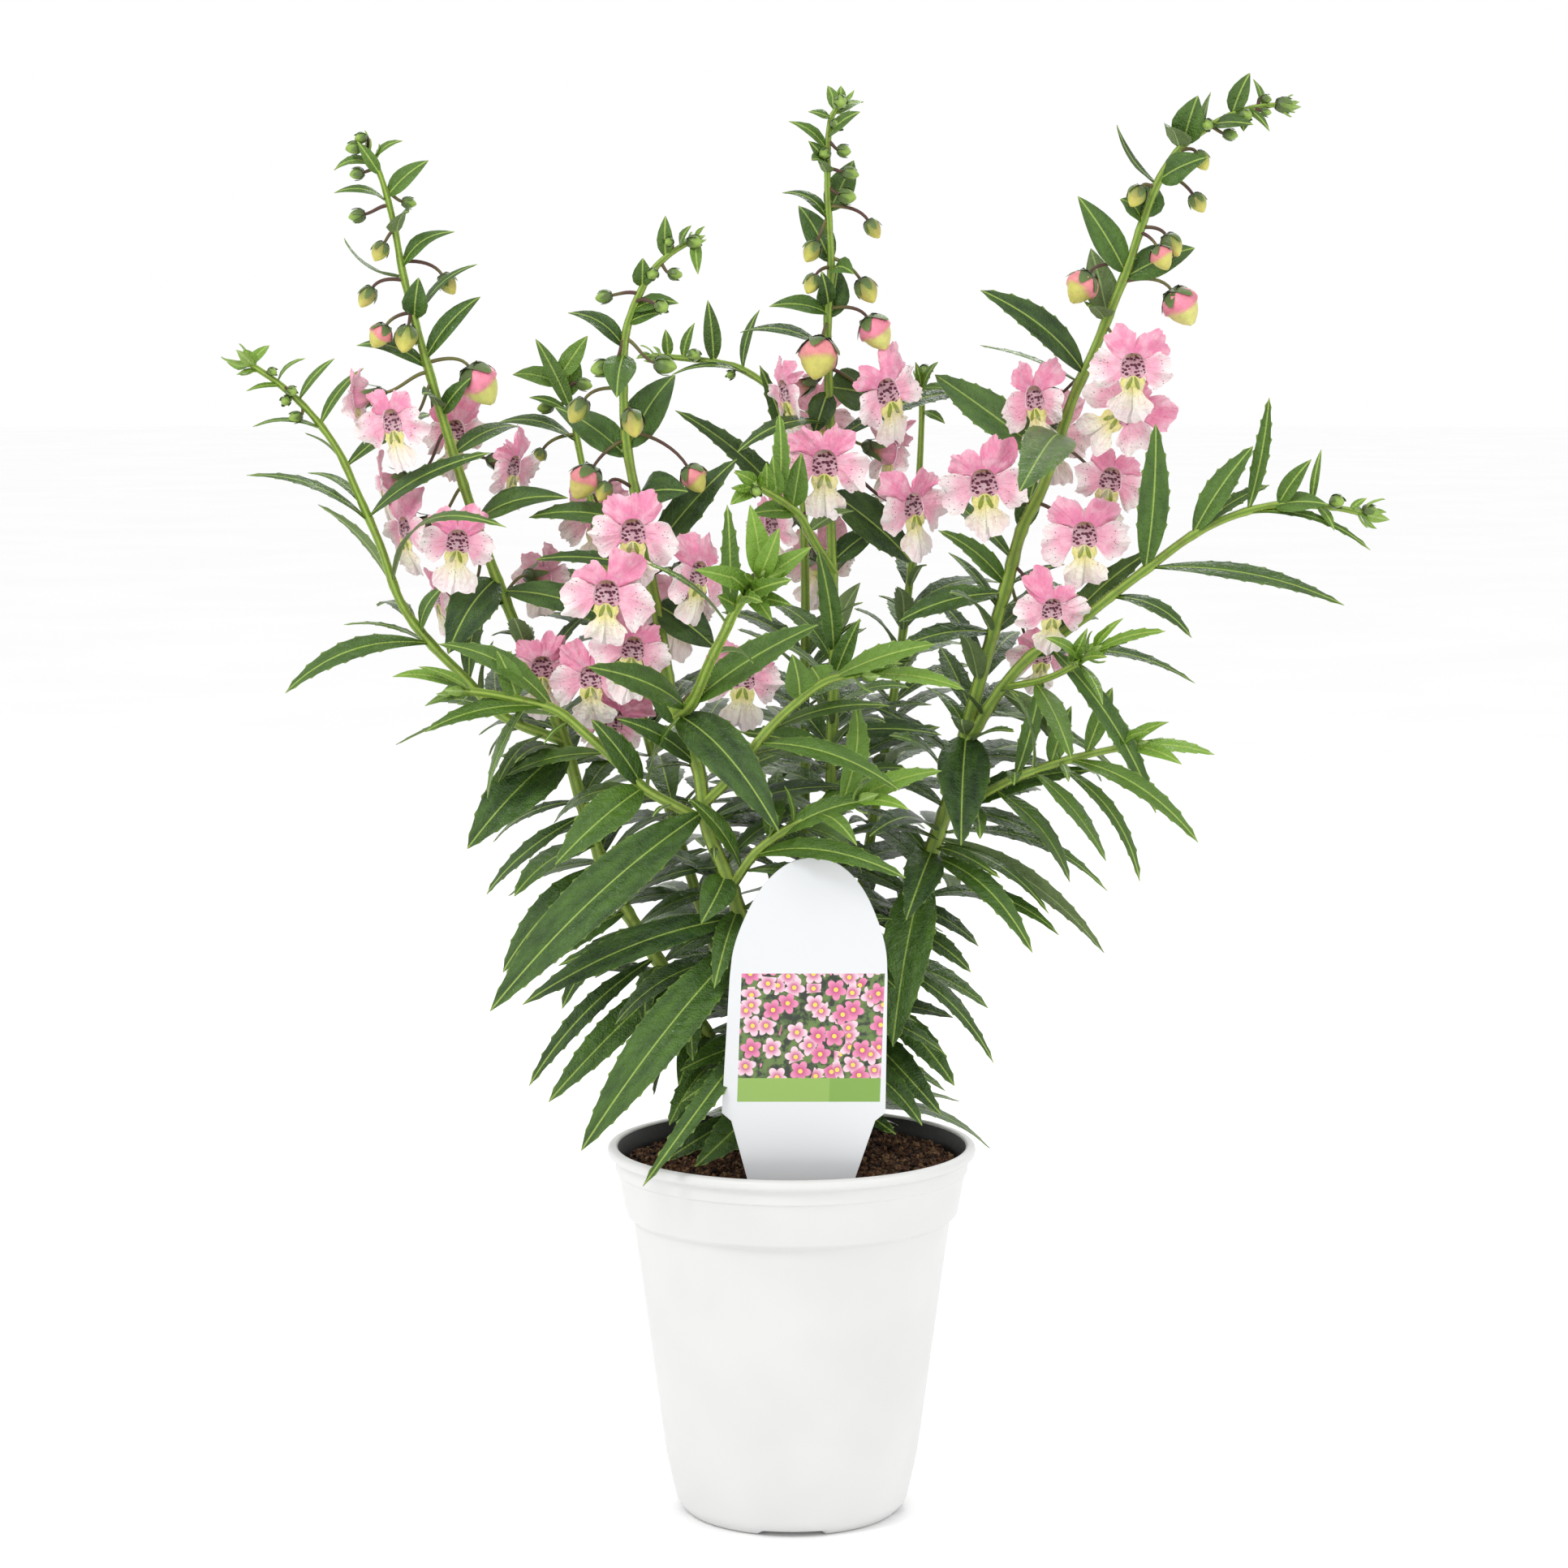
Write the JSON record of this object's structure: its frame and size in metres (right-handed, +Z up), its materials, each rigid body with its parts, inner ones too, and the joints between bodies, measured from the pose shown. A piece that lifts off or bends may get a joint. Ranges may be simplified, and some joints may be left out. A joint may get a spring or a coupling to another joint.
{
  "type": "potted summer snapdragon",
  "caption": "Potted summer snapdragon: upright leafy stems with pink and white two-lipped blooms, peat soil, a round white grower pot and a plain label stake.",
  "frame": {"origin": "bottom centre of the whole part's box, on the surface the pot stands on; the pot's axis is at x -4.4 mm, y +7.4 mm", "axes": "+Z up, -Y towards the viewer (the side with the label stake), +X to the viewer's right"},
  "size_m": [0.3468, 0.1468, 0.4424],
  "materials": {
    "pot_plastic": "satin white, moulded",
    "peat": "crumbly dark brown peat soil",
    "label_plastic": "smooth white printed card plastic",
    "leaf": "semi-gloss green leaves and stems",
    "petal": "soft pink and white petals"
  },
  "bodies": {
    "root": {"bloom_back_centre_1": "petal", "bloom_back_left_1": "petal", "bloom_centre_1": "petal", "bloom_centre_2": "petal", "bloom_centre_3": "petal", "bloom_centre_4": "petal", "bloom_centre_5": "petal", "bloom_centre_6": "petal", "bloom_centre_7": "petal", "bloom_front_1": "petal", "bloom_front_2": "petal", "bloom_front_3": "petal", "bloom_front_4": "petal", "bloom_front_5": "petal", "bloom_front_6": "petal", "bloom_front_7": "petal", "bloom_front_8": "petal", "bloom_left_1": "petal", "bloom_left_10": "petal", "bloom_left_2": "petal", "bloom_left_3": "petal", "bloom_left_4": "petal", "bloom_left_5": "petal", "bloom_left_6": "petal", "bloom_left_7": "petal", "bloom_left_8": "petal", "bloom_left_9": "petal", "bloom_right_1": "petal", "bloom_right_2": "petal", "bloom_right_3": "petal", "bloom_right_4": "petal", "bloom_right_5": "petal", "bloom_right_6": "petal", "bloom_right_7": "petal", "bloom_right_8": "petal", "bloom_right_9": "petal", "pot": "pot_plastic", "soil": "peat", "stem_back_centre": "leaf", "stem_back_left": "leaf", "stem_back_right": "leaf", "stem_centre": "leaf", "stem_front": "leaf", "stem_left": "leaf", "stem_right": "leaf", "tag": "label_plastic"}
  },
  "joints": []
}
